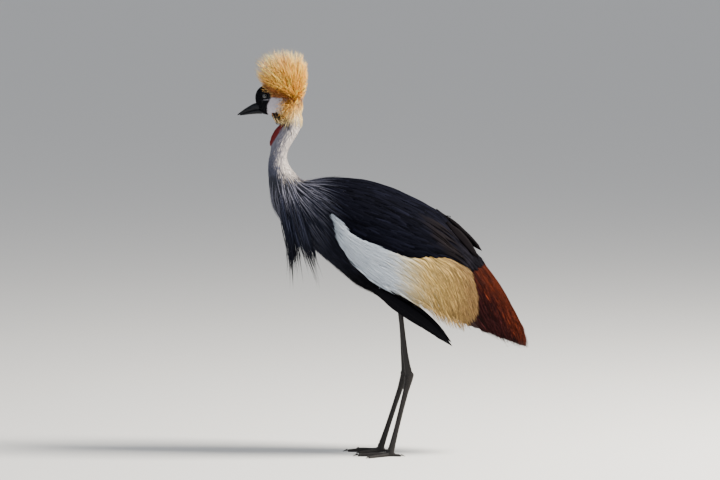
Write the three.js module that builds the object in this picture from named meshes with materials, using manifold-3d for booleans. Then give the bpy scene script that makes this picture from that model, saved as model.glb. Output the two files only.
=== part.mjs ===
// A grey crowned crane, life size, standing still with its head up and its wings folded.
// Millimetres, +Z up. The bird faces -X, its left side is -Y, and its toes stand on Z = 0.
// Lengths along the bird are measured from just in front of its heel joints, and the finished
// group is moved so that its origin is the bottom centre of its box.
import * as THREE from "three";
import { mergeVertices } from "three/addons/utils/BufferGeometryUtils.js";
import Module from "manifold-3d";

const wasm = await Module();
wasm.setup();

// Driving dimensions
const GAP = 0.35; // between neighbouring pieces
const EYE_RADIUS = 8.2;
const EYE_CENTRE = { x: -345, y: 13.8, z: 915 };
const ANKLE_HEIGHT = 205; // of the heel joint, which a tarsus of about 200 mm gives
const HIP_HALF_WIDTH = 46; // from the midline to each leg
const RIGHT_FOOT_LEAD = 26; // the right foot stands this much further forward
const LEG_SPREAD_TOP = 320; // above this height the legs are side by side
const FOOT_X = -28; // the tarsus slants forward, which brings the toes under the bird's weight
const SHELL_THICK = 13; // of the folded wing's feathers over the body
const SHELL_THICK_REAR = 8; // where the hanging feathers end
const TOES = [
  { name: "inner", length: 66, yaw: -36, radius: 5.4 },
  { name: "middle", length: 82, yaw: 2, radius: 6 },
  { name: "outer", length: 70, yaw: 40, radius: 5.4 },
  { name: "hind", length: 30, yaw: 168, radius: 4.6 },
];
const TOE_TAPER = 0.38; // the share of its radius that a toe loses towards its tip
const KNUCKLE = 0.5; // how much thicker a toe is at every other joint
const TOE_WIDTH_SHARE = 0.92; // a toe is a little narrower than it is deep
const SOLE_DEPTH = 1.3; // a toe's round section sinks this far below the floor and is cut flat there
const CLAW_SHARE = 0.17; // of a front toe's length
const HIND_CLAW_SHARE = 0.4;
const CLAW_RADIUS_SHARE = 0.56; // of its toe's radius
const CLAW_TAPER = 0.85;
const CLAW_WIDTH_SHARE = 0.8;
const CLAW_ARCH = 2.1; // how far a claw's root is above its tip
const CLAW_CLEARANCE = 0.4; // between a claw's tip and the floor
const TIP_CUT = 0.8; // taken off a toe's tip, square, where its claw begins

// Colours and finishes, from the photograph
const finish = (color, roughness) => new THREE.MeshStandardMaterial({ color, roughness, metalness: 0 });
const MATERIALS = {
  bill: finish(0x24262b, 0.4),
  cap: finish(0x0e0d0f, 0.95),
  eye: finish(0x8fa3ad, 0.1),
  crown: finish(0xe0a950, 0.6),
  wattle: finish(0x9a1013, 0.5),
  neck: finish(0xa9a6ac, 0.8),
  slate: finish(0x2f3440, 0.7),
  coverts: finish(0xe6e4dd, 0.75),
  straw: finish(0xc9a86a, 0.75),
  chestnut: finish(0x6b1f12, 0.7),
  black: finish(0x121216, 0.6),
  leg: finish(0x1b1a1b, 0.55),
  claw: finish(0x141213, 0.35),
};

// A number or point read off a smooth curve through equally spaced stations.
function through(rows) {
  const line = (column) => rows.map((row) => new THREE.Vector3(row[column], 0, 0));
  const curves = rows[0].map((_, column) => new THREE.CatmullRomCurve3(line(column)));
  return (t) => curves.map((curve) => curve.getPoint(t).x);
}

// The point of a rounded box outline at an angle: power 2 is an ellipse, more is squarer.
function outline(angle, topPower, bottomPower) {
  const [c, s] = [Math.cos(angle), Math.sin(angle)];
  const power = s > 0 ? topPower : bottomPower;
  const round = (value) => (Math.abs(value) < 1e-6 ? 0 : Math.sign(value) * Math.abs(value) ** (2 / power));
  return [round(c), round(s)];
}

// A closed body made from a capped cylinder, each of whose rings is moved to where place says.
// place(t, across, up) gives a Vector3 for t from 0 to 1 and for a point of the unit outline.
function body(place, around, along, topPower = 2, bottomPower = topPower) {
  const geometry = new THREE.CylinderGeometry(1, 1, 1, around, along);
  const position = geometry.getAttribute("position");
  for (let i = 0; i < position.count; i++) {
    const radius = Math.hypot(position.getX(i), position.getZ(i));
    const [across, up] = outline(Math.atan2(position.getX(i), position.getZ(i)), topPower, bottomPower);
    const p = place(0.5 - position.getY(i), across * radius, up * radius);
    position.setXYZ(i, p.x, p.y, p.z);
  }
  return solid(geometry);
}

// A three.js geometry as a closed solid with its faces pointing out.
function solid(geometry) {
  const bare = new THREE.BufferGeometry().setAttribute("position", geometry.getAttribute("position"));
  if (geometry.index) bare.setIndex(geometry.index);
  const merged = mergeVertices(bare, 1e-4);
  const triVerts = new Uint32Array(merged.index.array);
  const make = () => new wasm.Manifold(new wasm.Mesh({
    numProp: 3,
    vertProperties: merged.attributes.position.array,
    triVerts,
  }));
  const made = make();
  if (made.volume() > 0) return made;
  for (let i = 0; i < triVerts.length; i += 3) {
    [triVerts[i + 1], triVerts[i + 2]] = [triVerts[i + 2], triVerts[i + 1]];
  }
  return make();
}

// Upright slices along the bird: each row is x, top, bottom and half width.
function slices(rows, { around = 24, along = 18, grow = 0, powers = [2.2, 2.2] } = {}) {
  const at = through(rows);
  const ends = [rows[0][0], rows[rows.length - 1][0]];
  const way = Math.sign(ends[1] - ends[0]);
  return body((t, across, up) => {
    const [x, top, bottom, half] = at(t);
    const past = (t === 0 ? -grow : t === 1 ? grow : 0) * way;
    return new THREE.Vector3(
      x + past,
      across * (half + grow),
      (top + bottom) / 2 + up * ((top - bottom) / 2 + grow),
    );
  }, around, along, ...powers);
}

// Sections square to a path: each row is x, y, z, half depth in the side view and half width.
function limb(rows, { around = 14, along = 14, grow = 0, powers = [2, 2] } = {}) {
  const at = through(rows);
  const step = 1e-3;
  return body((t, across, up) => {
    const [x, y, z, depth, width] = at(t);
    const before = at(Math.max(0, t - step));
    const after = at(Math.min(1, t + step));
    const tangent = new THREE.Vector3(...after).sub(new THREE.Vector3(...before)).normalize();
    const normal = new THREE.Vector3(-tangent.z, 0, tangent.x).normalize();
    const sideways = new THREE.Vector3().crossVectors(tangent, normal);
    const past = t === 0 ? -grow : t === 1 ? grow : 0;
    return new THREE.Vector3(x, y, z)
      .addScaledVector(tangent, past)
      .addScaledVector(sideways, across * (width + grow))
      .addScaledVector(normal, up * (depth + grow));
  }, around, along, ...powers);
}

// A side-view outline in X and Z as a slab over one side of the bird, grown outwards all round.
function slab(points, side, grow = 0) {
  const reach = 400;
  const flat = points.map(([x, z]) => new THREE.Vector2(x, z));
  const turn = THREE.ShapeUtils.area(flat) > 0 ? 1 : -1;
  const moved = flat.map((p, i) => {
    const before = flat[(i + flat.length - 1) % flat.length];
    const after = flat[(i + 1) % flat.length];
    const along = new THREE.Vector2().subVectors(after, before).normalize();
    return new THREE.Vector2(p.x + turn * along.y * grow, p.y - turn * along.x * grow);
  });
  const geometry = new THREE.ExtrudeGeometry(new THREE.Shape(moved), { depth: reach, bevelEnabled: false });
  geometry.rotateX(Math.PI / 2);
  geometry.translate(0, side < 0 ? -GAP / 2 : reach + GAP / 2, 0);
  return solid(geometry);
}

// Points along a smooth line through a few hand-set ones.
function smooth(points, steps) {
  const curve = new THREE.SplineCurve(points.map(([x, z]) => new THREE.Vector2(x, z)));
  return curve.getPoints(steps).map((p) => [p.x, p.y]);
}

const group = new THREE.Group();

// Adds a solid to the bird as a named piece. Crumbs that a cut leaves are dropped.
function piece(name, made, material) {
  const whole = made.decompose().sort((a, b) => b.volume() - a.volume())[0];
  const mesh = whole.getMesh();
  const corners = new Float32Array(mesh.numVert * 3);
  for (let i = 0; i < mesh.numVert; i++) {
    corners.set(mesh.vertProperties.subarray(i * mesh.numProp, i * mesh.numProp + 3), i * 3);
  }
  const geometry = new THREE.BufferGeometry();
  geometry.setAttribute("position", new THREE.BufferAttribute(corners, 3));
  geometry.setIndex(new THREE.BufferAttribute(new Uint32Array(mesh.triVerts), 1));
  geometry.computeVertexNormals();
  const node = new THREE.Mesh(geometry, material);
  node.name = name;
  group.add(node);
}

const SIDES = [
  { name: "left", sign: -1, lead: 0 },
  { name: "right", sign: 1, lead: RIGHT_FOOT_LEAD },
];

// Head: x, top, bottom, half width, from the velvet forehead back to the nape
const headRows = [
  [-370, 920, 898, 5],
  [-364, 934, 878, 12.5],
  [-353, 942, 868, 17.5],
  [-337, 947, 864, 21.5],
  [-317, 948, 862, 24],
  [-297, 943, 860, 24],
  [-278, 931, 861, 22],
  [-261, 916, 868, 18],
  [-251, 903, 879, 9],
];
const head = (grow = 0) => slices(headRows, { around: 14, along: 9, grow });

// Bill: the upper half overhangs the lower by a little at the tip
const upperBillRows = [
  [-340, 908, 885, 12],
  [-362, 901, 881, 10],
  [-380, 891.5, 876.5, 7.6],
  [-396, 881.5, 871.8, 5.2],
  [-408, 872.8, 867.8, 2.8],
  [-414.5, 867.4, 865.6, 0.8],
];
const lowerBillRows = [
  [-340, 884.4, 868.5, 11],
  [-362, 880.4, 869.3, 8.8],
  [-380, 875.9, 868.2, 6.4],
  [-396, 871.2, 866.6, 4],
  [-408, 867.2, 865.2, 1.6],
];
const billPowers = [1.7, 2.6];
const upperBill = slices(upperBillRows, { around: 12, along: 8, powers: billPowers });
const lowerBill = slices(lowerBillRows, { around: 10, along: 7, powers: [3, 2] });

// Neck: an S from the back of the skull to the breast. x, y, z, half depth, half width
const neckRows = [
  [-290, 0, 892, 20, 20],
  [-271, 0, 862, 25, 22],
  [-273, 0, 837, 24.5, 21],
  [-289, 0, 811, 22.5, 21],
  [-304, 0, 786, 23, 21.5],
  [-313, 0, 760, 25.5, 24],
  [-312, 0, 734, 30, 29],
  [-303, 0, 708, 38, 37],
  [-290, 0, 678, 49, 48],
  [-272, 0, 645, 57, 58],
  [-245, 0, 612, 54, 60],
];
const neck = (grow = 0) => limb(neckRows, { around: 12, along: 16, grow });
// Planes across the neck: normal and distance, which split it into three lengths
const neckCuts = [
  { normal: [0.5, 0, 0.87], through: [-300, 0, 795] },
  { normal: [0.1, 0, 1], through: [-313, 0, 735] },
];

// Trunk with its close plumage: breast, back and belly
const trunkRows = [
  [-322, 690, 640, 10],
  [-295, 702, 592, 46],
  [-250, 701, 546, 72],
  [-190, 700, 500, 92],
  [-120, 698, 434, 101],
  [-40, 679, 398, 103],
  [40, 641, 388, 97],
  [110, 588, 402, 78],
  [168, 520, 432, 44],
  [190, 486, 455, 14],
];
const trunk = (grow = 0) => slices(trunkRows, { around: 16, along: 11, grow });

// The form of both folded wings and their hanging feathers over the trunk
const cloakRows = [
  [-240, 705, 575, 62],
  [-190, 711, 500, 102],
  [-120, 711, 436, 114],
  [-40, 693, 394, 118],
  [40, 657, 362, 114],
  [110, 617, 326, 101],
  [175, 541, 306, 84],
  [240, 458, 287, 65],
  [295, 362, 272, 43],
  [323, 292, 268, 14],
];
const cloakPowers = [2.1, 5];
const cloak = (grow = 0) => slices(cloakRows, { around: 18, along: 11, grow, powers: cloakPowers });
// The hollow under them is open below
const hollowRows = cloakRows.map(([x, top, bottom, half], i) => {
  const thick = THREE.MathUtils.lerp(SHELL_THICK, SHELL_THICK_REAR, i / (cloakRows.length - 1));
  const openBelow = 80;
  return [x, top - thick, bottom - openBelow, Math.max(half - thick, 2)];
});
const hollow = (grow = 0) => slices(hollowRows, { around: 18, along: 11, grow, powers: cloakPowers });

// Side-view lines that part the folded wing
const mantleEdge = smooth([
  [-300, 585], [-235, 603], [-182, 629], [-152, 611], [-137, 581], [-101, 560], [-60, 544],
  [-20, 526], [31, 516], [97, 515], [140, 503], [167, 485],
], 18);
const mantleOutline = [...mantleEdge, [206, 506], [340, 590], [340, 820], [-300, 820]];
const wristEdge = smooth([
  [-188, 660], [-180, 622], [-168, 570], [-152, 528], [-117, 478], [-50, 421], [10, 380], [10, 240],
], 12);
const plumeEnds = smooth([[150, 240], [157, 335], [184, 374], [188, 430], [167, 485]], 7);
const covertOutline = [...wristEdge, ...plumeEnds, [120, 640], [-120, 720]];
const strawEdge = [[10, 240], [60, 380], [52, 450], [66, 540]];
const strawOutline = [...strawEdge, [200, 700], [600, 700], [600, 240]];
const rearOutline = [[120, 200], [150, 480], [150, 660], [260, 640], [400, 400], [400, 200]];

function wing({ name, sign }) {
  const shell = cloak().subtract(hollow()).subtract(trunk(GAP)).subtract(neck(GAP));
  const mantle = shell.intersect(slab(mantleOutline, sign));
  const besideMantle = shell.subtract(slab(mantleOutline, sign, GAP));
  const lower = besideMantle.intersect(slab(covertOutline, sign));
  const coverts = lower.subtract(slab(strawOutline, sign, GAP));
  const straw = lower.intersect(slab(strawOutline, sign));
  const secondaries = besideMantle
    .intersect(slab(rearOutline, sign))
    .subtract(slab(covertOutline, sign, GAP));
  piece(`wing_${name}_mantle`, mantle, MATERIALS.slate);
  piece(`wing_${name}_coverts`, coverts, MATERIALS.coverts);
  piece(`wing_${name}_straw`, straw, MATERIALS.straw);
  piece(`wing_${name}_secondaries`, secondaries, MATERIALS.chestnut);
}

// Black flight feathers that show along the lower edge of the folded wing
const primaryRows = [
  [-70, 92, 436, 9, 4],
  [-10, 90, 394, 14, 4.5],
  [50, 80, 352, 17, 4.5],
  [96, 66, 308, 15, 4],
  [122, 55, 275, 8, 3],
  [131, 51, 261, 2, 1.5],
];
// The longest inner wing feathers, whose tips stand free over the rump. The right wing's reach further
const tertialRows = {
  left: [
    [60, 28, 618, 14, 12],
    [110, 36, 588, 13, 12],
    [150, 42, 553, 11, 9],
    [182, 44, 517, 6, 5],
    [196, 44, 498, 1.5, 1.5],
  ],
  right: [
    [60, 28, 622, 14, 12],
    [115, 34, 592, 14, 12],
    [160, 36, 556, 12, 9],
    [192, 36, 527, 7, 5],
    [207, 36, 510, 1.5, 1.5],
  ],
};
const shellAround = () => cloak(GAP).subtract(hollow(-GAP));

const onSide = (rows, sign) => rows.map(([x, y, z, ...sizes]) => [x, y * sign, z, ...sizes]);

function flightFeathers({ name, sign }) {
  const primaries = limb(onSide(primaryRows, sign), { around: 8, along: 7 })
    .subtract(shellAround())
    .subtract(trunk(GAP));
  piece(`wing_${name}_primaries`, primaries, MATERIALS.black);
  const tertials = limb(onSide(tertialRows[name], sign), { around: 8, along: 6 }).subtract(cloak(GAP));
  piece(`wing_${name}_tertials`, tertials, MATERIALS.slate);
}

// Tail: short and black, under the hanging wing feathers
const tailRows = [
  [120, 0, 470, 16, 24],
  [160, 0, 428, 11, 32],
  [210, 0, 370, 8, 36],
  [255, 0, 320, 5, 32],
  [281, 0, 292, 2, 22],
];

// Long grey plumes that hang from the base of the neck. x, y, z, half depth, half width
const plumeRows = {
  front: [
    [-318, 0, 662, 14, 30],
    [-296, 0, 610, 14, 26],
    [-281, 0, 552, 13, 20],
    [-280, 0, 490, 8, 11],
    [-281, 0, 428, 2, 2.5],
  ],
  side_1: [
    [-300, 44, 655, 14, 16],
    [-290, 56, 600, 17, 14],
    [-276, 54, 545, 16, 12],
    [-266, 46, 490, 10, 8],
    [-258, 40, 448, 2, 2],
  ],
  side_2: [
    [-268, 62, 640, 16, 14],
    [-256, 76, 590, 20, 12],
    [-238, 76, 540, 18, 10],
    [-220, 66, 485, 10, 7],
    [-205, 58, 438, 2, 2],
  ],
};

// Crown of stiff bristles, a round halo from the front. Level slices: z, front, back, half width
const crownRows = [
  [852, -322, -290, 26],
  [872, -326, -268, 45],
  [896, -326, -250, 62],
  [922, -338, -240, 73],
  [950, -362, -235, 78],
  [980, -373, -235, 75],
  [1005, -370, -239, 64],
  [1022, -356, -248, 44],
  [1031, -325, -272, 18],
];
function crown() {
  const at = through(crownRows);
  return body((t, across, up) => {
    const [z, front, back, half] = at(t);
    return new THREE.Vector3((front + back) / 2 + up * ((back - front) / 2), across * half, z);
  }, 16, 7, 2.3);
}

// Wattle: a flat red lobe that hangs along the front of the throat
const wattleRows = [
  [-293, 0, 851, 3, 3],
  [-303, 0, 838, 8, 6],
  [-314, 0, 822, 10.5, 7.5],
  [-324, 0, 804, 10, 7],
  [-331, 0, 790, 5, 4],
  [-333, 0, 785, 1, 1],
];

// Legs: x, y, z, half depth, half width
const thighRows = [
  [-34, HIP_HALF_WIDTH, 478, 34, 22],
  [-18, HIP_HALF_WIDTH, 440, 26, 18],
  [-7, HIP_HALF_WIDTH, 405, 15, 13],
  [-2, HIP_HALF_WIDTH, 378, 9.5, 9],
];
const tibiaRows = [
  [-4, HIP_HALF_WIDTH, 390, 7, 6.5],
  [4, HIP_HALF_WIDTH, 320, 7, 6.3],
  [13, HIP_HALF_WIDTH, 250, 7.5, 6.8],
  [20, HIP_HALF_WIDTH, ANKLE_HEIGHT + 6, 10, 9],
];
const tarsusRows = [
  [21, HIP_HALF_WIDTH, ANKLE_HEIGHT + 14, 6, 5],
  [22, HIP_HALF_WIDTH, ANKLE_HEIGHT + 2, 12.5, 10.5],
  [18, HIP_HALF_WIDTH, ANKLE_HEIGHT - 18, 9, 7.5],
  [9, HIP_HALF_WIDTH, 150, 6.6, 5.6],
  [-6, HIP_HALF_WIDTH, 90, 6.4, 5.4],
  [FOOT_X + 9, HIP_HALF_WIDTH, 36, 7.4, 6.6],
  [FOOT_X + 2, HIP_HALF_WIDTH, 10, 9.5, 9.5],
  [FOOT_X, HIP_HALF_WIDTH, 3, 8, 8.5],
];

// The part of a toe or claw beyond an upright plane across it, or before that plane
function cutAcross(made, { sign, lead }, yaw, out, beyond) {
  const turn = THREE.MathUtils.degToRad(yaw);
  const way = new THREE.Vector3(-Math.cos(turn), sign * Math.sin(turn), 0);
  const distance = way.dot(new THREE.Vector3(FOOT_X - lead, sign * HIP_HALF_WIDTH, 0)) + out;
  if (beyond) return made.trimByPlane(way.toArray(), distance);
  return made.trimByPlane(way.negate().toArray(), -distance);
}

// A toe runs out from the foot, arched a little, with a flat sole on the floor
function toe(side, { length, yaw, radius }, grow = 0) {
  const { sign, lead } = side;
  const turn = THREE.MathUtils.degToRad(yaw);
  const rows = [0, 0.2, 0.42, 0.62, 0.82, 1].map((share, i) => {
    const r = radius * (1 - TOE_TAPER * share) + (i % 2 ? 0 : KNUCKLE);
    const out = share * length;
    return [
      FOOT_X - lead - Math.cos(turn) * out,
      sign * (HIP_HALF_WIDTH + Math.sin(turn) * out),
      r - SOLE_DEPTH,
      r,
      r * TOE_WIDTH_SHARE,
    ];
  });
  const flat = limb(rows, { around: 8, along: 4, grow }).trimByPlane([0, 0, 1], 0);
  return cutAcross(flat, side, yaw, length - TIP_CUT, false);
}

// A claw curves down from the end of its toe and stops just above the floor
function claw(side, { name, length, yaw, radius }) {
  const { sign, lead } = side;
  const turn = THREE.MathUtils.degToRad(yaw);
  const long = length * (name === "hind" ? HIND_CLAW_SHARE : CLAW_SHARE);
  const rows = [0, 0.3, 0.7, 1].map((share) => {
    const r = radius * CLAW_RADIUS_SHARE * (1 - CLAW_TAPER * share);
    const out = length - 2 * TIP_CUT + share * long;
    return [
      FOOT_X - lead - Math.cos(turn) * out,
      sign * (HIP_HALF_WIDTH + Math.sin(turn) * out),
      CLAW_CLEARANCE + r + CLAW_ARCH * (1 - share ** 2),
      r,
      r * CLAW_WIDTH_SHARE,
    ];
  });
  return cutAcross(limb(rows, { around: 6, along: 3 }), side, yaw, length - TIP_CUT + GAP, true);
}

function leg(side) {
  const { name, sign, lead } = side;
  const forward = (z) => lead * Math.max(0, 1 - z / LEG_SPREAD_TOP);
  const placed = (rows) => onSide(rows, sign).map(([x, y, z, ...sizes]) => [x - forward(z), y, z, ...sizes]);
  const tarsus = limb(placed(tarsusRows), { around: 8, along: 8 }).trimByPlane([0, 0, 1], 0);
  const aroundTarsus = limb(placed(tarsusRows), { around: 8, along: 8, grow: GAP });
  const tibia = (grow = 0) => limb(placed(tibiaRows), { around: 8, along: 5, grow });
  const thigh = limb(placed(thighRows), { around: 10, along: 5 })
    .subtract(tibia(GAP))
    .subtract(trunk(GAP));
  piece(`thigh_${name}`, thigh, MATERIALS.slate);
  piece(`tibia_${name}`, tibia().subtract(aroundTarsus).subtract(trunk(GAP)), MATERIALS.leg);
  let besideToes = tarsus;
  TOES.forEach((spec) => {
    besideToes = besideToes.subtract(toe(side, spec, GAP));
  });
  piece(`tarsus_${name}`, besideToes, MATERIALS.leg);
  TOES.forEach((spec, i) => {
    let made = toe(side, spec);
    TOES.slice(0, i).forEach((other) => {
      made = made.subtract(toe(side, other, GAP));
    });
    piece(`toe_${name}_${spec.name}`, made, MATERIALS.leg);
    piece(`claw_${name}_${spec.name}`, claw(side, spec), MATERIALS.claw);
  });
}

function eyeball(sign, grow = 0) {
  const geometry = new THREE.SphereGeometry(EYE_RADIUS + grow, 10, 6);
  geometry.translate(EYE_CENTRE.x, EYE_CENTRE.y * sign, EYE_CENTRE.z);
  return solid(geometry);
}

function headAndBill() {
  const sockets = SIDES.reduce((made, { sign }) => made.subtract(eyeball(sign, GAP)), head());
  piece("head", sockets, MATERIALS.cap);
  SIDES.forEach(({ name, sign }) => piece(`eye_${name}`, eyeball(sign), MATERIALS.eye));
  piece("bill_upper", upperBill.subtract(head(GAP)), MATERIALS.bill);
  piece("bill_lower", lowerBill.subtract(head(GAP)), MATERIALS.bill);
  piece("crown", crown().subtract(head(GAP)).subtract(neck(GAP)), MATERIALS.crown);
  const wattle = limb(wattleRows, { around: 8, along: 7 })
    .subtract(neck(GAP))
    .subtract(head(GAP))
    .subtract(crown());
  piece("wattle", wattle, MATERIALS.wattle);
}

function neckPieces() {
  const planeOf = ({ normal, through: point }) => {
    const n = new THREE.Vector3(...normal).normalize();
    return [n, n.dot(new THREE.Vector3(...point))];
  };
  const [[n1, d1], [n2, d2]] = neckCuts.map(planeOf);
  const back = ([n, d]) => [n.clone().negate().toArray(), -d + GAP / 2];
  const whole = neck().subtract(head(GAP)).subtract(trunk(GAP));
  piece("neck_upper", whole.trimByPlane(n1.toArray(), d1 + GAP / 2), MATERIALS.neck);
  const middle = whole.trimByPlane(...back([n1, d1])).trimByPlane(n2.toArray(), d2 + GAP / 2);
  piece("neck_middle", middle, MATERIALS.neck);
  piece("neck_lower", whole.trimByPlane(...back([n2, d2])), MATERIALS.neck);
}

function plumes() {
  const free = (rows) => limb(rows, { around: 8, along: 7 }).subtract(trunk(GAP)).subtract(neck(GAP));
  const grown = (rows) => limb(rows, { around: 8, along: 7, grow: GAP });
  piece("plume_front", free(plumeRows.front), MATERIALS.slate);
  SIDES.forEach(({ name, sign }) => {
    const first = onSide(plumeRows.side_1, sign);
    const second = onSide(plumeRows.side_2, sign);
    piece(`plume_${name}_1`, free(first).subtract(grown(plumeRows.front)), MATERIALS.slate);
    const behind = free(second).subtract(grown(first)).subtract(shellAround());
    piece(`plume_${name}_2`, behind, MATERIALS.slate);
  });
}

headAndBill();
neckPieces();
piece("trunk", trunk(), MATERIALS.slate);
plumes();
SIDES.forEach(wing);
SIDES.forEach(flightFeathers);
const tail = limb(tailRows, { around: 10, along: 6 }).subtract(trunk(GAP)).subtract(shellAround());
piece("tail", tail, MATERIALS.black);
SIDES.forEach(leg);

const box = new THREE.Box3().setFromObject(group);
group.position.set(-(box.min.x + box.max.x) / 2, -(box.min.y + box.max.y) / 2, -box.min.z);

export default group;
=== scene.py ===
"""A grey crowned crane, life size and standing still. Metres; it faces -X and its left side is -Y."""

import math
from contextlib import contextmanager

import bmesh
import bpy
import numpy as np
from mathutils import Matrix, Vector
from mathutils.bvhtree import BVHTree


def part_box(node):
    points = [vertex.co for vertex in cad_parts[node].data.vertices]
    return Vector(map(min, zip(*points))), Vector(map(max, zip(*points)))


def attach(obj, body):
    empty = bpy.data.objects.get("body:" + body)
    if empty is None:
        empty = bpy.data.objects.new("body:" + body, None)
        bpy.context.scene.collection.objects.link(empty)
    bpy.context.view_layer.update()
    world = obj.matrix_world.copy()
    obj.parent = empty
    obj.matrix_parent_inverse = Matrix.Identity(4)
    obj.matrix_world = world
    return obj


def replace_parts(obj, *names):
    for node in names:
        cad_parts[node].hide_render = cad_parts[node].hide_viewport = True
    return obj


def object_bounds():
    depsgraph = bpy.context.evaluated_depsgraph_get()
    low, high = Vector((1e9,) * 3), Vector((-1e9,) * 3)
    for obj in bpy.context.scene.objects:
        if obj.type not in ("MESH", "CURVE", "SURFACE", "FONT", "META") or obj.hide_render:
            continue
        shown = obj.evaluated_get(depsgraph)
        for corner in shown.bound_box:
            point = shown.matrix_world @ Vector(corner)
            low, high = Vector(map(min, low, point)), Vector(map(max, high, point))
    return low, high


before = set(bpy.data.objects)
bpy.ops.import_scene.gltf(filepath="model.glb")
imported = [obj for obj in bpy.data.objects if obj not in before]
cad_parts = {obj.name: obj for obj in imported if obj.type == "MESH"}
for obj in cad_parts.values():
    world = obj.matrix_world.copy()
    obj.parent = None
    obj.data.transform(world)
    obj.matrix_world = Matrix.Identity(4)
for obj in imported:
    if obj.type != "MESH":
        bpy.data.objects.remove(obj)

MM = 0.001
cad_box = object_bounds()
rng = np.random.default_rng(11)

# Driving dimensions
SKIN_VOXEL = 4.0 * MM
EYE = sum(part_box("eye_left"), Vector()) / 2
EYE_RADIUS = (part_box("eye_left")[1].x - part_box("eye_left")[0].x) / 2
BALL_RADIUS = EYE_RADIUS - 0.8 * MM  # the eyeball as seen, inside its socket
BALL_OUT = abs(EYE.y) - 1.6 * MM
EYE_AHEAD = 0.12  # radians by which each eye looks forward
LID_THICK = 0.9 * MM
BAKE_PATCH = 0.003  # of the unwrapped square, for one tuft
ROOT_SINK = 0.4 * MM  # a feather starts this far under the skin
WANDER = 0.09  # how much a feather turns off the lie, on average
HOLD = 2.5 * MM  # a feather leaves the skin where it would have to turn aside by more than this
BARB = 0.6 * MM
BARB_SLANT = 0.6
HACKLE_TOP = 722 * MM  # the long loose feathers of the breast begin this high, on the neck
CREST_ROOT = np.array([-228, 0, 908]) * MM  # where the crown's bristles spring from
CROWN_BRISTLES = 3300
PLUMES_PER_NODE = 95
LONG_TERTIALS = 11
CAMERA_TARGET = Vector((-58, 0, 548)) * MM
CAMERA_DISTANCE = 12.0
CAMERA_ELEVATION = math.radians(4.5)
CAMERA_LENS = 236
FLOOR_SIZE = 900.0

# Nodes of the frame, by what covers them
NECK = ["neck_upper", "neck_middle", "neck_lower"]
TOE_NAMES = ["inner", "middle", "outer", "hind"]
SIDES = {"left": -1, "right": 1}
WING_PARTS = ["mantle", "coverts", "straw", "secondaries"]
FLESH = ["head", "wattle", *NECK, "trunk"]
FLESH += [f"{part}_{side}" for side in SIDES for part in ("thigh", "tibia", "tarsus")]
FLESH += [f"toe_{side}_{toe}" for side in SIDES for toe in TOE_NAMES]
FLESH += [f"wing_{side}_{part}" for side in SIDES for part in WING_PARTS]

# Colours, linear
BLACK = (0.004, 0.004, 0.0055)
NAVY = (0.0023, 0.0025, 0.0050)
SLATE = (0.017, 0.019, 0.032)
PEARL = (0.40, 0.385, 0.41)
# Pearl grey with painted sunlight, for the back of the neck
PEARL_SUNLIT = (0.72, 0.64, 0.59)
# Pearl grey with the cool cast of painted shade, for the front of the neck; the pale loose feathers of the
# breast take it too
PEARL_COOL = (0.16, 0.16, 0.205)
# A darker blue-grey for the shaded front of the neck, lower down
SLATE_BLUE = (0.060, 0.065, 0.105)
# The coverts' white, dimmed and tinted blue as painted shade
WHITE_SHADED = (0.35, 0.395, 0.46)
CREAM = (0.39, 0.34, 0.22)
STRAW = (0.31, 0.205, 0.062)
# Dark brown of the straw's rear edge; it also serves as painted shade low on the straw
STRAW_DARK = (0.15, 0.08, 0.032)
# Chestnut with painted sunlight, for the upper rear edge of the secondaries
CHESTNUT_SUNLIT = (0.056, 0.0095, 0.0035)
MAROON = (0.013, 0.0028, 0.003)
BROWN_GREY = (0.0052, 0.0043, 0.0050)
GOLD = (1.0, 0.50, 0.08)
GOLD_DARK = (0.22, 0.065, 0.012)
GOLD_PALE = (1.0, 0.72, 0.34)
CHEEK = (0.29, 0.27, 0.305)
CHEEK_RED = (0.16, 0.02, 0.018)
WATTLE = (0.075, 0.0006, 0.001)
LEG = (0.012, 0.0105, 0.0105)


def unit(v):
    return v / np.maximum(np.linalg.norm(v, axis=-1, keepdims=True), 1e-12)


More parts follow.
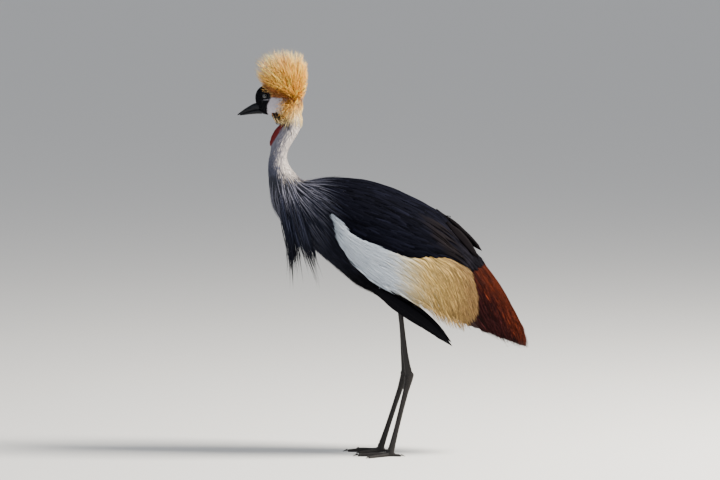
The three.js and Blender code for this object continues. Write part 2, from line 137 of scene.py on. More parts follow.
# How the feathers lie: a place in mm (along X, out from the middle, up) and the way they point there
LIE = np.array([
    (-322, 0, 920, 0.35, 0, 0.9),
    (-300, 0, 948, 1, 0, 0.1),
    (-262, 0, 938, 1, 0, -0.45),
    (-318, 15, 900, 1, 0.1, 0.1),
    (-285, 22, 900, 1, 0, -0.25),
    (-300, 6, 866, 1, 0, -0.15),
    (-215, 10, 890, 0.25, 0, -1),
    (-250, 12, 862, 0.6, 0, -0.8),
    (-228, 20, 838, -0.05, 0, -1),
    (-243, 20, 811, -0.45, 0, -0.9),
    (-258, 20, 786, -0.45, 0, -0.9),
    (-267, 24, 760, -0.2, 0, -1),
    (-268, 28, 734, 0.15, 0.1, -1),
    (-225, 28, 725, 0.55, 0.25, -0.8),
    (-285, 20, 690, 0.15, 0.1, -1),
    (-255, 45, 680, 0.3, 0.15, -1),
    (-200, 60, 690, 0.75, 0.3, -0.65),
    (-150, 20, 708, 1, 0.15, -0.15),
    (-160, 90, 660, 0.85, 0.2, -0.6),
    (-250, 55, 610, 0.3, 0.05, -1),
    (-200, 90, 570, 0.5, 0, -0.9),
    (-150, 95, 520, 0.6, 0, -0.8),
    (-200, 0, 530, 0.6, 0, -0.8),
    (-80, 60, 440, 0.85, 0, -0.5),
    (-50, 0, 405, 1, 0, -0.2),
    (60, 0, 395, 1, 0, -0.05),
    (-50, 60, 700, 1, 0.1, -0.2),
    (-50, 110, 600, 1, 0, -0.4),
    (60, 60, 650, 0.9, 0.05, -0.45),
    (-83, 112, 588, 0.86, 0, -0.5),
    (-7, 116, 542, 0.95, 0, -0.3),
    (82, 114, 524, 1, 0, -0.08),
    (145, 104, 520, 0.97, 0, -0.22),
    (200, 90, 503, 0.85, 0, -0.5),
    (150, 60, 570, 0.8, 0, -0.6),
    (200, 60, 510, 0.75, 0, -0.68),
    (-110, 118, 570, 0.8, 0, -0.6),
    (-60, 118, 500, 0.85, 0, -0.55),
    (20, 116, 440, 0.9, 0, -0.45),
    (60, 116, 500, 0.8, 0, -0.6),
    (110, 108, 490, 0.5, 0, -0.87),
    (130, 105, 420, 0.5, 0, -0.87),
    (175, 95, 460, 0.3, 0, -0.95),
    (190, 90, 390, 0.3, 0, -0.95),
    (215, 82, 440, 0.35, 0, -0.94),
    (250, 65, 440, 0.5, 0, -0.87),
    (300, 45, 350, 0.4, 0, -0.92),
    (250, 60, 330, 0.6, 0, -0.8),
    (20, 46, 430, 0.15, 0, -1),
    (40, 46, 380, 0.1, 0, -1),
])
LIE_PLACES = LIE[:, :3] * MM
LIE_WAYS = unit(LIE[:, 3:])

# The bare cheek, from the eye in mm: height, front edge, rear edge
CHEEK_EDGE = np.array([(-54, 8, 20), (-42, 4, 28), (-26, 3, 36), (-12, 9, 41), (-3, 14, 44)], float)

# The middle line of the head, neck and trunk, round which the body is unwrapped: X and Z in mm
MIDDLE_LINE = np.array([
    (-325, 905), (-260, 905), (-232, 865), (-229, 837), (-250, 798), (-266, 745), (-250, 690),
    (-205, 620), (-100, 580), (0, 540), (100, 490), (200, 420), (330, 290),
]) * MM


def smoothstep(x, low, high):
    t = np.clip((x - low) / (high - low), 0, 1)
    return t * t * (3 - 2 * t)


def mix(a, b, share):
    share = np.asarray(share)[..., None]
    return np.asarray(a) * (1 - share) + np.asarray(b) * share


def lie_at(p):
    """The way that feathers point at each place, from the nearest guides."""
    out = np.sign(p[:, 1:2]) + (p[:, 1:2] == 0)
    mirrored = p * np.concatenate([np.ones_like(out), out, np.ones_like(out)], 1)
    way = np.empty_like(mirrored)
    block = 20000
    for i in range(0, len(p), block):
        part = mirrored[i:i + block]
        gap = np.linalg.norm(part[:, None, :] - LIE_PLACES[None], axis=2)
        weight = (gap + 4 * MM) ** -4
        way[i:i + block] = weight @ LIE_WAYS / weight.sum(1, keepdims=True)
    way[:, 1:2] *= out
    return unit(way)


def add_object(name, data):
    obj = bpy.data.objects.new(name, data)
    bpy.context.scene.collection.objects.link(obj)
    return obj


def shade_smooth(mesh):
    mesh.polygons.foreach_set("use_smooth", np.full(len(mesh.polygons), True))


def mesh_object(name, co, faces):
    """A new object from corner places and arrays of faces, each array with faces of one size."""
    mesh = bpy.data.meshes.new(name)
    corners = np.concatenate([f.ravel() for f in faces]).astype(np.int32)
    sizes = np.concatenate([np.full(len(f), f.shape[1]) for f in faces])
    starts = np.concatenate([[0], np.cumsum(sizes)[:-1]]).astype(np.int32)
    mesh.vertices.add(len(co))
    mesh.vertices.foreach_set("co", np.asarray(co, np.float32).ravel())
    mesh.loops.add(len(corners))
    mesh.loops.foreach_set("vertex_index", corners)
    mesh.polygons.add(len(starts))
    mesh.polygons.foreach_set("loop_start", starts)
    mesh.update(calc_edges=True)
    shade_smooth(mesh)
    return add_object(name, mesh)


def read(items, key, width, kind=np.float32):
    values = np.empty(len(items) * width, kind)
    items.foreach_get(key, values)
    return values.reshape(-1, width)


def places(mesh):
    return read(mesh.vertices, "co", 3).astype(float)


def normals_of(mesh):
    return read(mesh.vertices, "normal", 3).astype(float)


def triangles_of(mesh):
    mesh.calc_loop_triangles()
    return read(mesh.loop_triangles, "vertices", 3, np.int32)


def links_of(mesh):
    return read(mesh.edges, "vertices", 2, np.int32)


def set_places(mesh, co):
    mesh.vertices.foreach_set("co", np.asarray(co, np.float32).ravel())
    mesh.update()


def set_tint(mesh, colour):
    """Stores one colour for each vertex, which the materials read."""
    rgba = np.concatenate([colour, np.ones((len(colour), 1))], 1)
    layer = mesh.attributes.new("tint", "FLOAT_COLOR", "POINT")
    layer.data.foreach_set("color", rgba.astype(np.float32).ravel())


def soup(nodes):
    """Places and triangles of some CAD nodes together, and the node that each triangle is of."""
    co, tris, owner = [], [], []
    start = 0
    for i, name in enumerate(nodes):
        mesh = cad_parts[name].data
        co.append(places(mesh))
        tris.append(triangles_of(mesh) + start)
        owner.append(np.full(len(tris[-1]), i))
        start += len(co[-1])
    return np.concatenate(co), np.concatenate(tris), np.concatenate(owner)


def tree_of(co, tris):
    return BVHTree.FromPolygons(co.tolist(), tris.tolist())


def cross_of(corners):
    """Each triangle's way out, with a length of twice its area."""
    return np.cross(corners[:, 1] - corners[:, 0], corners[:, 2] - corners[:, 0])


def draw_on(corners, area, count):
    """Places drawn evenly over some triangles, and the triangle that each is on."""
    tri = rng.choice(len(area), count, p=area / area.sum())
    a, b = rng.random((2, count, 1))
    a, b = np.where(a + b > 1, 1 - a, a), np.where(a + b > 1, 1 - b, b)
    c = corners[tri]
    return c[:, 0] + a * (c[:, 1] - c[:, 0]) + b * (c[:, 2] - c[:, 0]), tri


def relax(values, links, rounds, weight=1.0):
    """Draws each point's values towards those of its neighbours, as far as its weight says."""
    a, b = links.T
    count = len(values)
    near = np.bincount(a, minlength=count) + np.bincount(b, minlength=count)
    pull = (0.5 * weight / np.maximum(near, 1))[:, None]
    for _ in range(rounds):
        total = np.stack([
            np.bincount(a, column[b], count) + np.bincount(b, column[a], count) for column in values.T
        ], 1)
        values = values + (total - values * near[:, None]) * pull
    return values


def blur(numbers, links, rounds):
    return relax(numbers[:, None], links, rounds)[:, 0]


def welded(co, tris, owner):
    """The same mesh with one vertex at each place, the normal there, and the node it is of."""
    _, first, same = np.unique(np.round(co / (0.01 * MM)), axis=0, return_index=True, return_inverse=True)
    co, tris = co[first], same.ravel()[tris]
    face = cross_of(co[tris])
    n = np.zeros_like(co)
    of = np.zeros(len(co), int)
    for corner in tris.T:
        np.add.at(n, corner, face)
        of[corner] = owner
    return co, tris, unit(n), of


def remeshed(name, nodes, voxel, swell=None):
    """One closed mesh round some CAD nodes, which closes the thin gaps between them."""
    co, tris, n, owner = welded(*soup(nodes))
    if swell:
        co = co + n * (per_kind(map(kind_of, nodes), swell)[owner] * MM)[:, None]
    source = mesh_object(name, co, [tris])
    remesh = source.modifiers.new("remesh", "REMESH")
    remesh.mode = "VOXEL"
    remesh.voxel_size = voxel
    remesh.adaptivity = 0
    bpy.context.view_layer.update()
    mesh = bpy.data.meshes.new_from_object(source.evaluated_get(bpy.context.evaluated_depsgraph_get()))
    mesh.name = name
    old = source.data
    source.modifiers.clear()
    source.data = mesh
    bpy.data.meshes.remove(old)
    shade_smooth(mesh)
    return source


@contextmanager
def editing(mesh):
    """A bmesh of a mesh, which is written back at the end."""
    bm = bmesh.new()
    bm.from_mesh(mesh)
    bm.verts.ensure_lookup_table()
    yield bm
    bm.to_mesh(mesh)
    bm.free()


def drop_inner_shells(mesh):
    """Keeps only the largest island of a mesh; each vertex takes the lowest number in its island."""
    a, b = links_of(mesh).T
    island, before = np.arange(len(mesh.vertices)), None
    while before is None or (island != before).any():
        before = island.copy()
        low = np.minimum(island[a], island[b])
        np.minimum.at(island, a, low)
        np.minimum.at(island, b, low)
        island = island[island]
    extra = np.flatnonzero(island != np.bincount(island).argmax())
    with editing(mesh) as bm:
        bmesh.ops.delete(bm, geom=[bm.verts[i] for i in extra], context="VERTS")


def refine(mesh, chosen):
    """Splits each face whose corners are all chosen into four."""
    with editing(mesh) as bm:
        edges = [e for e in bm.edges if chosen[e.verts[0].index] and chosen[e.verts[1].index]]
        bmesh.ops.subdivide_edges(bm, edges=edges, cuts=1, use_grid_fill=True)
        bmesh.ops.triangulate(bm, faces=[f for f in bm.faces if len(f.verts) > 4])


class Surface:
    """The skin as feathers see it: nearest places, and which part of the bird each belongs to."""

    def __init__(self, mesh, owner_tree, owners):
        co, tris = places(mesh), triangles_of(mesh)
        self.tree = tree_of(co, tris)
        self.corners = co[tris]
        cross = cross_of(self.corners)
        self.area = np.linalg.norm(cross, axis=1) / 2
        self.centre = self.corners.mean(1)
        self.face_normal = unit(cross)
        self.part = owners[nearest_faces(owner_tree, self.centre)]

    def nearest(self, p):
        found = [self.tree.find_nearest(q) for q in p.tolist()]
        return np.array([f[0] for f in found]), np.array([f[1] for f in found])

    def part_at(self, p):
        return self.part[nearest_faces(self.tree, p)]

    def scatter(self, chosen, spacing):
        """Evenly spread places on the chosen triangles: the first of some draws in each cell of a grid."""
        area = self.area * chosen
        draws = 3
        p, tri = draw_on(self.corners, area, int(area.sum() / spacing ** 2 * draws))
        cell = np.floor(p / (spacing * 1.06)).astype(np.int64)
        key = np.bitwise_xor.reduce(cell * np.array([73856093, 19349663, 83492791]), axis=1)
        first = np.sort(np.unique(key, return_index=True)[1])
        return p[first], self.face_normal[tri[first]]


def nearest_places(tree, p):
    return np.array([tree.find_nearest(q)[0] for q in p.tolist()])


def nearest_faces(tree, p):
    return np.array([tree.find_nearest(q)[2] for q in p.tolist()])


# The shapes of feathers: across and up, for each corner of a section
STRAND = np.array([(-1, 0), (0, 1), (1, 0)])
VANE = np.array([(-1, 0), (-0.55, 0.75), (0, 1.4), (0.55, 0.75), (1, 0), (0, -0.5)])


def pointed(s):
    return (0.4 + 0.6 * np.sin(np.pi * np.minimum(s * 1.15, 1) ** 0.8)) * (1 - s ** 3)


def blunt(s):
    return (0.35 + 0.65 * smoothstep(s, 0, 0.35)) * np.sqrt(np.clip(1 - s ** 5, 0, 1))


def hair(s):
    return (1 - 0.75 * s) * (0.6 + 0.4 * smoothstep(s, 0, 0.2))


def unwrap(p):
    """Place on the body's unwrap: turn round the middle line, and distance along it."""
    xz = p[:, [0, 2]]
    a, b = MIDDLE_LINE[:-1], MIDDLE_LINE[1:]
    along = b - a
    length = np.linalg.norm(along, axis=1)
    share = np.clip(((xz[:, None] - a) * along).sum(2) / length ** 2, 0, 1)
    foot = a + share[..., None] * along
    gap = np.linalg.norm(xz[:, None] - foot, axis=2)
    best = gap.argmin(1)
    rows = np.arange(len(p))
    start = np.concatenate([[0], np.cumsum(length)])
    distance = start[best] + share[rows, best] * length[best]
    normal = np.stack([-along[:, 1], along[:, 0]], 1) / length[:, None]
    up = ((xz - foot[rows, best]) * normal[best]).sum(1)
    turn = np.arctan2(p[:, 1], up) / (2 * np.pi) + 0.5
    return np.stack([turn, distance / start[-1]], 1)


def spread_to_square(uv):
    low, high = uv.min(0), uv.max(0)
    return BAKE_PATCH + (uv - low) / np.maximum(high - low, 1e-6) * (1 - 2 * BAKE_PATCH)


def vanes(name, path, up, width, thick, tint, section, slot, root_uv=None):
    """Solid feathers as one mesh. path and up are (feather, station, 3); the last station is the tip."""
    count, stations, _ = path.shape
    ring = len(section)
    tangent = unit(np.gradient(path, axis=1))
    side = unit(np.cross(tangent, up))
    lift = unit(np.cross(side, tangent))
    body = path[:, :-1, None] + side[:, :-1, None] * (width[:, :-1, None, None] * section[:, :1])
    body = body + lift[:, :-1, None] * (thick[:, :-1, None, None] * section[:, 1:])
    rings = stations - 1
    per = rings * ring + 1
    co = np.concatenate([body.reshape(count, -1, 3), path[:, -1:]], 1).reshape(-1, 3)
    base = (np.arange(count) * per)[:, None, None]
    row = np.arange(rings - 1)[:, None] * ring
    j = np.arange(ring)
    nxt = (j + 1) % ring
    quad = np.stack([row + j, row + nxt, row + ring + nxt, row + ring + j], -1).reshape(1, -1, 4)
    last = (rings - 1) * ring
    tip = np.stack([last + j, last + nxt, np.full(ring, rings * ring)], -1).reshape(1, -1, 3)
    cap = j[::-1].reshape(1, 1, ring)
    faces = [(quad + base).reshape(-1, 4), (tip + base).reshape(-1, 3), (cap + base).reshape(-1, ring)]
    obj = mesh_object(name, co, faces)
    mesh = obj.data
    colours = np.concatenate([np.repeat(tint[:, :-1], ring, axis=1), tint[:, -1:]], 1).reshape(-1, 3)
    set_tint(mesh, np.clip(colours, 0, 1))
    s = np.linspace(0, 1, stations)
    across = np.concatenate([np.tile(section[:, 0], rings), [0]])
    along = np.concatenate([np.repeat(s[:-1], ring), [1]])
    root_uv = spread_to_square(unwrap(path[:, 0]) if root_uv is None else root_uv)
    patch = np.stack([across / 2, along - 0.5], 1) * BAKE_PATCH
    loop_vertex = read(mesh.loops, "vertex_index", 1, np.int32)[:, 0]
    bake = (root_uv[:, None] + patch[None]).reshape(-1, 2)
    set_uv(mesh, "OFBake", bake[loop_vertex])
    length = np.linalg.norm(np.diff(path, axis=1), axis=2).sum(1)
    lie = np.stack([across[None] * width.max(1)[:, None], along[None] * length[:, None]], -1)
    set_uv(mesh, "Lie", lie.reshape(-1, 2)[loop_vertex])
    finish_piece(obj, FEATHERS[slot])
    return obj


def set_uv(mesh, name, uv):
    mesh.uv_layers.new(name=name).data.foreach_set("uv", uv.astype(np.float32).ravel())


def finish_piece(obj, material):
    obj.data.materials.clear()
    obj.data.materials.append(material)
    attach(obj, "root")


def lay(surface, roots, normals, way, length, rise, stations, stiff=0.45, droop=0.0):
    """Paths of feathers that follow the skin from their roots, and hang free past its end."""
    count = len(roots)
    path = np.empty((count, stations, 3))
    ups = np.empty_like(path)
    on, n = roots, normals
    d = unit(way - (way * n).sum(1, keepdims=True) * n)
    turn = rng.normal(0, WANDER, (count, 1))
    path[:, 0] = roots - n * ROOT_SINK
    ups[:, 0] = n
    step = (length / (stations - 1))[:, None]
    lift = rise * rng.uniform(0.75, 1.1, count)
    for k in range(1, stations):
        ahead = on + d * step
        spot, normal = surface.nearest(ahead)
        off = ahead - spot
        sideways = np.linalg.norm(off - (off * normal).sum(1, keepdims=True) * normal, axis=1)
        held = ((sideways < HOLD) & ((normal * n).sum(1) > 0.2))[:, None]
        on = np.where(held, spot, ahead)
        n = unit(np.where(held, 0.5 * n + 0.5 * normal, n))
        flow = lie_at(on)
        flow = flow + np.cross(n, flow) * turn
        d = unit(stiff * d + (1 - stiff) * np.where(held, flow, d + np.array([0, 0, -droop])))
        d = np.where(held, unit(d - (d * n).sum(1, keepdims=True) * n), d)
        height = lift * (k / (stations - 1)) ** 0.75
        path[:, k] = on + n * height[:, None]
        ups[:, k] = n
    return path, ups


def fill(tree, node, **values):
    """Sets a node's settings and inputs by name, and links each value that is another node's output."""
    for key, value in values.items():
        socket = key.replace("_", " ")
        if hasattr(node, key):
            setattr(node, key, value)
        elif isinstance(value, bpy.types.NodeSocket):
            tree.links.new(value, node.inputs[socket])
        else:
            node.inputs[socket].default_value = value
    return node


def add_node(tree, kind, **values):
    return fill(tree, tree.nodes.new(f"ShaderNode{kind}"), **values)


def add_ramp(tree, share, stops):
    """The colour from a ramp of places and colours."""
    ramp = add_node(tree, "ValToRGB", Fac=share)
    elements = ramp.color_ramp.elements
    while len(elements) < len(stops):
        elements.new(0.5)
    for element, (position, colour) in zip(elements, stops):
        element.position = position
        element.color = (*colour, 1)
    return ramp.outputs["Color"]


def add_bump(tree, shader, height, strength, distance):
    bump = add_node(tree, "Bump", Height=height, Strength=strength, Distance=distance)
    fill(tree, shader, Normal=bump.outputs["Normal"])


def new_material(name, roughness):
    material = bpy.data.materials.new(name)
    material.use_nodes = True
    tree = material.node_tree
    shader = fill(tree, tree.nodes["Principled BSDF"], Roughness=roughness)
    return material, tree, shader


def tint_shader(tree, shader, spread, scale):
    """Base colour from the stored tint, made a little lighter and darker from place to place."""
    tint = add_node(tree, "Attribute", attribute_name="tint")
    where = add_node(tree, "TexCoord")
    noise = add_node(tree, "TexNoise", Vector=where.outputs["Object"], Scale=scale, Detail=3.0)
    level = add_node(tree, "MapRange", Value=noise.outputs["Fac"], To_Min=1 - spread, To_Max=1 + spread)
    product = add_node(tree, "VectorMath", operation="MULTIPLY")
    tree.links.new(tint.outputs["Color"], product.inputs[0])
    tree.links.new(level.outputs["Result"], product.inputs[1])
    fill(tree, shader, Base_Color=product.outputs["Vector"])


def feather_material(name, roughness, gloss, spread=0.15, sheen=0.0, barb_strength=0.25):
    """Feathers: stored colours, soft mottling, and fine barbs that run out from the shaft."""
    material, tree, shader = new_material(name, roughness)
    tint_shader(tree, shader, spread, 90.0)
    fill(tree, shader, Sheen_Weight=sheen, Sheen_Roughness=0.5, Specular_IOR_Level=gloss)
    lie = add_node(tree, "UVMap", uv_map="Lie")
    slant = add_node(tree, "Mapping", Vector=lie.outputs["UV"], Rotation=(0, 0, BARB_SLANT))
    wave = add_node(tree, "TexWave", bands_direction="Y", Vector=slant.outputs["Vector"],
                    Scale=1 / (BARB * 20), Distortion=1.5, Detail=1.0)
    add_bump(tree, shader, wave.outputs["Fac"], barb_strength, 0.2 * MM)
    return material


def skin_material():
    """Skin: stored colours, soft mottling, and pebbled scales that show on the legs."""
    material, tree, shader = new_material("crane_skin", 0.6)
    tint_shader(tree, shader, 0.22, 160.0)
    fill(tree, shader, Specular_IOR_Level=0.18)
    where = add_node(tree, "TexCoord")
    cells = add_node(tree, "TexVoronoi", feature="DISTANCE_TO_EDGE", Vector=where.outputs["Object"],
                     Scale=420.0)
    add_bump(tree, shader, cells.outputs["Distance"], 0.5, 0.5 * MM)
    return material


def horn_material(name, colour, roughness, stretch):
    """Horn: dark, smooth, with faint growth lines along it."""
    material, tree, shader = new_material(name, roughness)
    where = add_node(tree, "TexCoord")
    mapping = add_node(tree, "Mapping", Vector=where.outputs["Object"], Scale=stretch)
    noise = add_node(tree, "TexNoise", Vector=mapping.outputs["Vector"], Scale=60.0, Detail=5.0)
    stops = [(0.3, [c * 0.7 for c in colour]), (0.75, [c * 1.6 for c in colour])]
    fill(tree, shader, Base_Color=add_ramp(tree, noise.outputs["Fac"], stops), Specular_IOR_Level=0.1)
    add_bump(tree, shader, noise.outputs["Fac"], 0.25, 0.3 * MM)
    return material


# Markings

def from_eye(p):
    """How far each place is behind the eye and above it, in mm."""
    return (p[..., 0] - EYE.x) / MM, (p[..., 2] - EYE.z) / MM


def cheek_share(p):
    """How far each place is on the bare cheek, from its front and rear edge at each height."""
    dx, dz = from_eye(p)
    height, front, rear = CHEEK_EDGE.T
    ahead = dx - np.interp(dz, height, front)
    behind = np.interp(dz, height, rear) - dx
    below = -2 - dz
    return smoothstep(np.minimum(np.minimum(ahead, behind), below), 0, 2.5)


def head_marks(p):
    """Colours of the head by place, measured from the eye: black cap and lores, pale bare cheek."""
    dx, dz = from_eye(p)
    below_eye = smoothstep(-dz, 0, 8) * smoothstep(dz, -46, -38)
    colour = mix(BLACK, PEARL, smoothstep(dx + 14 * below_eye, 38, 52))
    colour = mix(colour, CHEEK, cheek_share(p))
    red = smoothstep(1.1 - np.hypot((dx - 26) / 13, (dz - 1) / 3.5), 0, 0.25)
    colour = mix(colour, CHEEK_RED, red)
    # A painted highlight: a pale line under the eye, in the cheek's colour
    line = smoothstep(1.1 - np.hypot((dx - 3) / 11, (dz + 9.8 - 0.08 * dx) / 1.3), 0, 0.3)
    return mix(colour, CHEEK, line * 0.5)


def neck_marks(p):
    """The neck's grey with painted light: warm white behind as painted sunlight, blue-grey in front as
    painted shade and darker lower down, black at the throat.
    """
    middle = np.interp(p[:, 2], MIDDLE_LINE[7:1:-1, 1], MIDDLE_LINE[7:1:-1, 0])
    back = (p[:, 0] - middle) / (25 * MM)
    # Painted shade makes the front blue-grey, and darker lower down; painted sunlight makes the back warm
    # white
    shaded_front = mix(PEARL_COOL, SLATE_BLUE, smoothstep(-p[:, 2], -815 * MM, -715 * MM))
    colour = mix(shaded_front, PEARL_SUNLIT, smoothstep(back, -0.5, 0.6))
    throat = smoothstep(p[:, 2], 824 * MM, 842 * MM) * smoothstep(-back, 0.1, 0.7)
    colour = mix(colour, BLACK, throat)
    return mix(colour, SLATE, smoothstep(-p[:, 2], -732 * MM, -692 * MM))


def trunk_marks(p):
    high = smoothstep(p[:, 2] - 0.9 * (p[:, 0] + 0.2), 640 * MM, 730 * MM)
    return mix(mix(SLATE, BLACK, smoothstep(p[:, 0], -0.2, -0.05)), PEARL_COOL, high * 0.5)


def mantle_marks(p):
    colour = mix(NAVY, SLATE, smoothstep(-p[:, 0], 120 * MM, 190 * MM))
    return mix(colour, BROWN_GREY, smoothstep(p[:, 0], 130 * MM, 215 * MM) * 0.5)


def covert_marks(p):
    """White in front, dimmed and tinted blue as painted shade, then cream, then straw, darker at the rear
    edge; painted shade also darkens the lower straw.
    """
    rear = p[:, 0] + 0.1 * (p[:, 2] - 0.45)
    colour = mix(WHITE_SHADED, CREAM, smoothstep(rear, 15 * MM, 85 * MM))
    colour = mix(colour, STRAW, smoothstep(rear, 50 * MM, 125 * MM))
    # Painted shade over the lower part of the straw
    low = smoothstep(-p[:, 2], -430 * MM, -370 * MM)
    colour = mix(colour, STRAW_DARK, low * smoothstep(rear, 60 * MM, 140 * MM) * 0.3)
    return mix(colour, STRAW_DARK, smoothstep(rear, 150 * MM, 225 * MM) * 0.8)


def secondary_marks(p):
    """The chestnut secondaries: painted sunlight along the upper rear edge, nearly black below, partly
    painted shade.
    """
    edge = (p[:, 0] - 0.242) * 0.857 + (p[:, 2] - 0.500) * 0.514
    top = 14 * MM * smoothstep(p[:, 2], 0.40, 0.48)
    # Painted sunlight along the upper rear edge; below it the deep maroon is partly painted shade
    return mix(MAROON, CHESTNUT_SUNLIT, smoothstep(edge + top, -25 * MM, -2 * MM))


def markings(p, part):
    """Colour at each place of a part of the bird."""
    colour = np.tile(np.array(SLATE), (len(p), 1))
    painters = {"head": head_marks, "neck": neck_marks, "trunk": trunk_marks, "mantle": mantle_marks,
                "coverts": covert_marks, "straw": covert_marks, "secondaries": secondary_marks}
    for kind, painter in painters.items():
        here = part == kind
        colour[here] = painter(p[here])
    colour[part == "wattle"] = WATTLE
    colour[np.isin(part, ["tibia", "tarsus", "toe"])] = LEG
    return colour


def kind_of(node):
    """What a CAD node is a part of: a kind of wing feathers, or its name's first word."""
    last = node.split("_")[-1]
    return last if last in WING_PARTS else node.split("_")[0]


# Skin

# By kind of part: how far in mm the skin lies under the coat, how strongly it is rounded off, and by how
# many mm a thin part is swollen for the remesh, before it is drawn back
COAT_DEPTH = {"head": 1.2, "wattle": 0, "neck": 4.0, "trunk": 6.0, "thigh": 4.0, "tibia": 0.3,
              "tarsus": 0.2, "toe": 0.0, "mantle": 4.5, "coverts": 4.5, "straw": 4.5, "secondaries": 3.0}
BIG_FORMS = {"trunk": 1.0, "mantle": 1.0, "coverts": 1.0, "straw": 1.0, "secondaries": 0.6,
             "neck": 0.5, "thigh": 0.5, "head": 0.12, "wattle": 0.1}
THIN_PARTS = {"toe": 2.2, "tarsus": 1.0, "tibia": 0.8}
LID_OPENING = math.radians(46)
# A wing's surface carries feathers where its way out has more than these shares to the side or up
OUTWARD, UPWARD = 0.05, 0.3


def flesh_tree():
    co, tris, owner = soup(FLESH)
    kinds = np.array([kind_of(n) for n in FLESH])
    return tree_of(co, tris), kinds[owner]


def per_kind(part, table):
    return np.array([table.get(kind, 0.0) for kind in part])


def around_eye(co, sign):
    """An eye's centre; and for each place, the way out from there, how far, the angle off its axis and
    how far above or below it lies, as a share.
    """
    centre = np.array([EYE.x, BALL_OUT * sign, EYE.z])
    axis = unit(np.array([-EYE_AHEAD, sign, 0.03]))
    rel = co - centre
    r = np.linalg.norm(rel, axis=1)
    out = rel / np.maximum(r, 1e-9)[:, None]
    angle = np.arccos(np.clip(out @ axis, -1, 1))
    flat = np.abs(rel[:, 2]) / np.maximum(np.hypot(rel[:, 0], rel[:, 2]), 1e-9)
    return centre, out, r, angle, flat


def shape_lids(co, links):
    """Draws the skin round each eye into lids that lie on the eyeball, and sinks what the eye hides."""
    socket = EYE_RADIUS + 3.0 * MM
    for sign in SIDES.values():
        for _ in range(4):
            centre, out, r, angle, flat = around_eye(co, sign)
            gape = LID_OPENING * (1 - 0.28 * flat)
            rim = 0.6 * MM * np.exp(-((angle - gape) / 0.2) ** 2)
            reach = BALL_RADIUS + LID_THICK + rim
            lid = (r < reach) & (angle >= gape) & (angle < math.radians(100))
            co = np.where(lid[:, None], centre + out * reach[:, None], co)
            hidden = (r < socket) & (angle < gape)
            co = np.where(hidden[:, None], centre + out * (BALL_RADIUS - 1.0 * MM), co)
            round_it = ((r < EYE_RADIUS + 9 * MM) & (angle > gape + 0.25)).astype(float)
            co = relax(co, links, 6, round_it)
    return co


def smooth_in_place(mesh, rounds, weight=1.0):
    """Rounds off a mesh's facets and then puts back the size that this takes away."""
    before, links = places(mesh), links_of(mesh)
    set_places(mesh, relax(before, links, rounds, weight))
    n = normals_of(mesh)
    lost = ((before - places(mesh)) * n).sum(1, keepdims=True)
    set_places(mesh, places(mesh) + n * relax(lost, links, rounds * 3, weight))


def make_skin():
    tree, owners = flesh_tree()
    obj = remeshed("skin", FLESH, SKIN_VOXEL, THIN_PARTS)
    mesh = obj.data
    drop_inner_shells(mesh)
    part = owners[nearest_faces(tree, places(mesh))]
    weight = per_kind(part, BIG_FORMS)
    weight = blur(weight, links_of(mesh), 6)
    thin = np.isin(part, list(THIN_PARTS))
    co = relax(places(mesh), links_of(mesh), 60, np.where(thin, 0, np.maximum(weight, 0.12)))
    set_places(mesh, co)
    refine(mesh, np.isin(part, ["head", "wattle", *THIN_PARTS]))
    for _ in range(2):
        co = places(mesh)
        refine(mesh, np.hypot(co[:, 0] - EYE.x, co[:, 2] - EYE.z) < EYE_RADIUS + 5 * MM)
    co = places(mesh)
    part = owners[nearest_faces(tree, co)]
    links = links_of(mesh)
    thin = np.isin(part, list(THIN_PARTS))
    co[thin] = nearest_places(tree, co[thin])
    set_places(mesh, co)
    smooth_in_place(mesh, 5, thin * 0.8)
    co = relax(places(mesh), links, 4, np.isin(part, ["head", "wattle"]) * 0.6)
    set_places(mesh, co)
    n = normals_of(mesh)
    depth = per_kind(part, COAT_DEPTH) * MM
    inner = np.isin(part, WING_PARTS) & (n[:, 1] * np.sign(co[:, 1]) < OUTWARD) & (n[:, 2] < UPWARD)
    depth[inner] = 0
    co = co - n * blur(depth, links, 5)[:, None]
    co = shape_lids(co, links)
    co[:, 2] = np.maximum(co[:, 2], 0)
    set_places(mesh, co)
    colour = mix(markings(co, part), MAROON, blur(inner.astype(float), links, 3) * 0.9)
    set_tint(mesh, relax(colour, links, 1))
    finish_piece(obj, skin_material())
    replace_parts(obj, *FLESH)
    return Surface(mesh, tree, owners)


# Coats

# For each coat: its name, the parts it grows on, the parts that its tips may reach, the stations of a
# feather, and its slot; then in mm its spacing, length, width, rise, and how far off the skin a tip may be
COATS = [
    ("coat_neck", ["neck"], ["neck", "trunk", "mantle"], 6, "neck", (2.4, 21, 2.4, 3.4, 6)),
    ("coat_breast", ["trunk"], ["trunk", "mantle", "thigh"], 8, "slate", (5.8, 88, 4.2, 5.5, 26)),
    ("coat_breast_loose", ["trunk", "neck"], ["neck", "trunk", "mantle", "thigh"], 7, "slate",
     (9, 96, 1.8, 9, 40)),
    ("coat_thighs", ["thigh"], ["thigh", "tibia"], 5, "slate", (4.5, 20, 5.0, 3.5, 5)),
    ("coat_mantle", ["mantle"], ["mantle"], 10, "slate", (9.5, 84, 13, 2.6, 8)),
    ("coat_mantle_plumes", ["mantle"], ["mantle"], 8, "slate", (5.6, 72, 2.5, 3.8, 6)),
    ("coat_coverts", ["coverts"], ["coverts", "straw"], 8, "coverts", (4.0, 60, 4.6, 4.2, 14)),
    *[(f"coat_straw_{side}", ["straw"], ["straw", "coverts"], 7, "straw", (2.8, 68, 1.7, 4.8, 26))
      for side in SIDES],
    *[(f"coat_chestnut_{side}", ["secondaries"], None, 7, "chestnut", (3.0, 76, 1.9, 3.8, 10))
      for side in SIDES],
]
# The section and outline of a coat's feathers, by its name or its slot
SHAPES = {"coat_mantle": (VANE, blunt), "straw": (STRAND, hair), "chestnut": (STRAND, hair)}
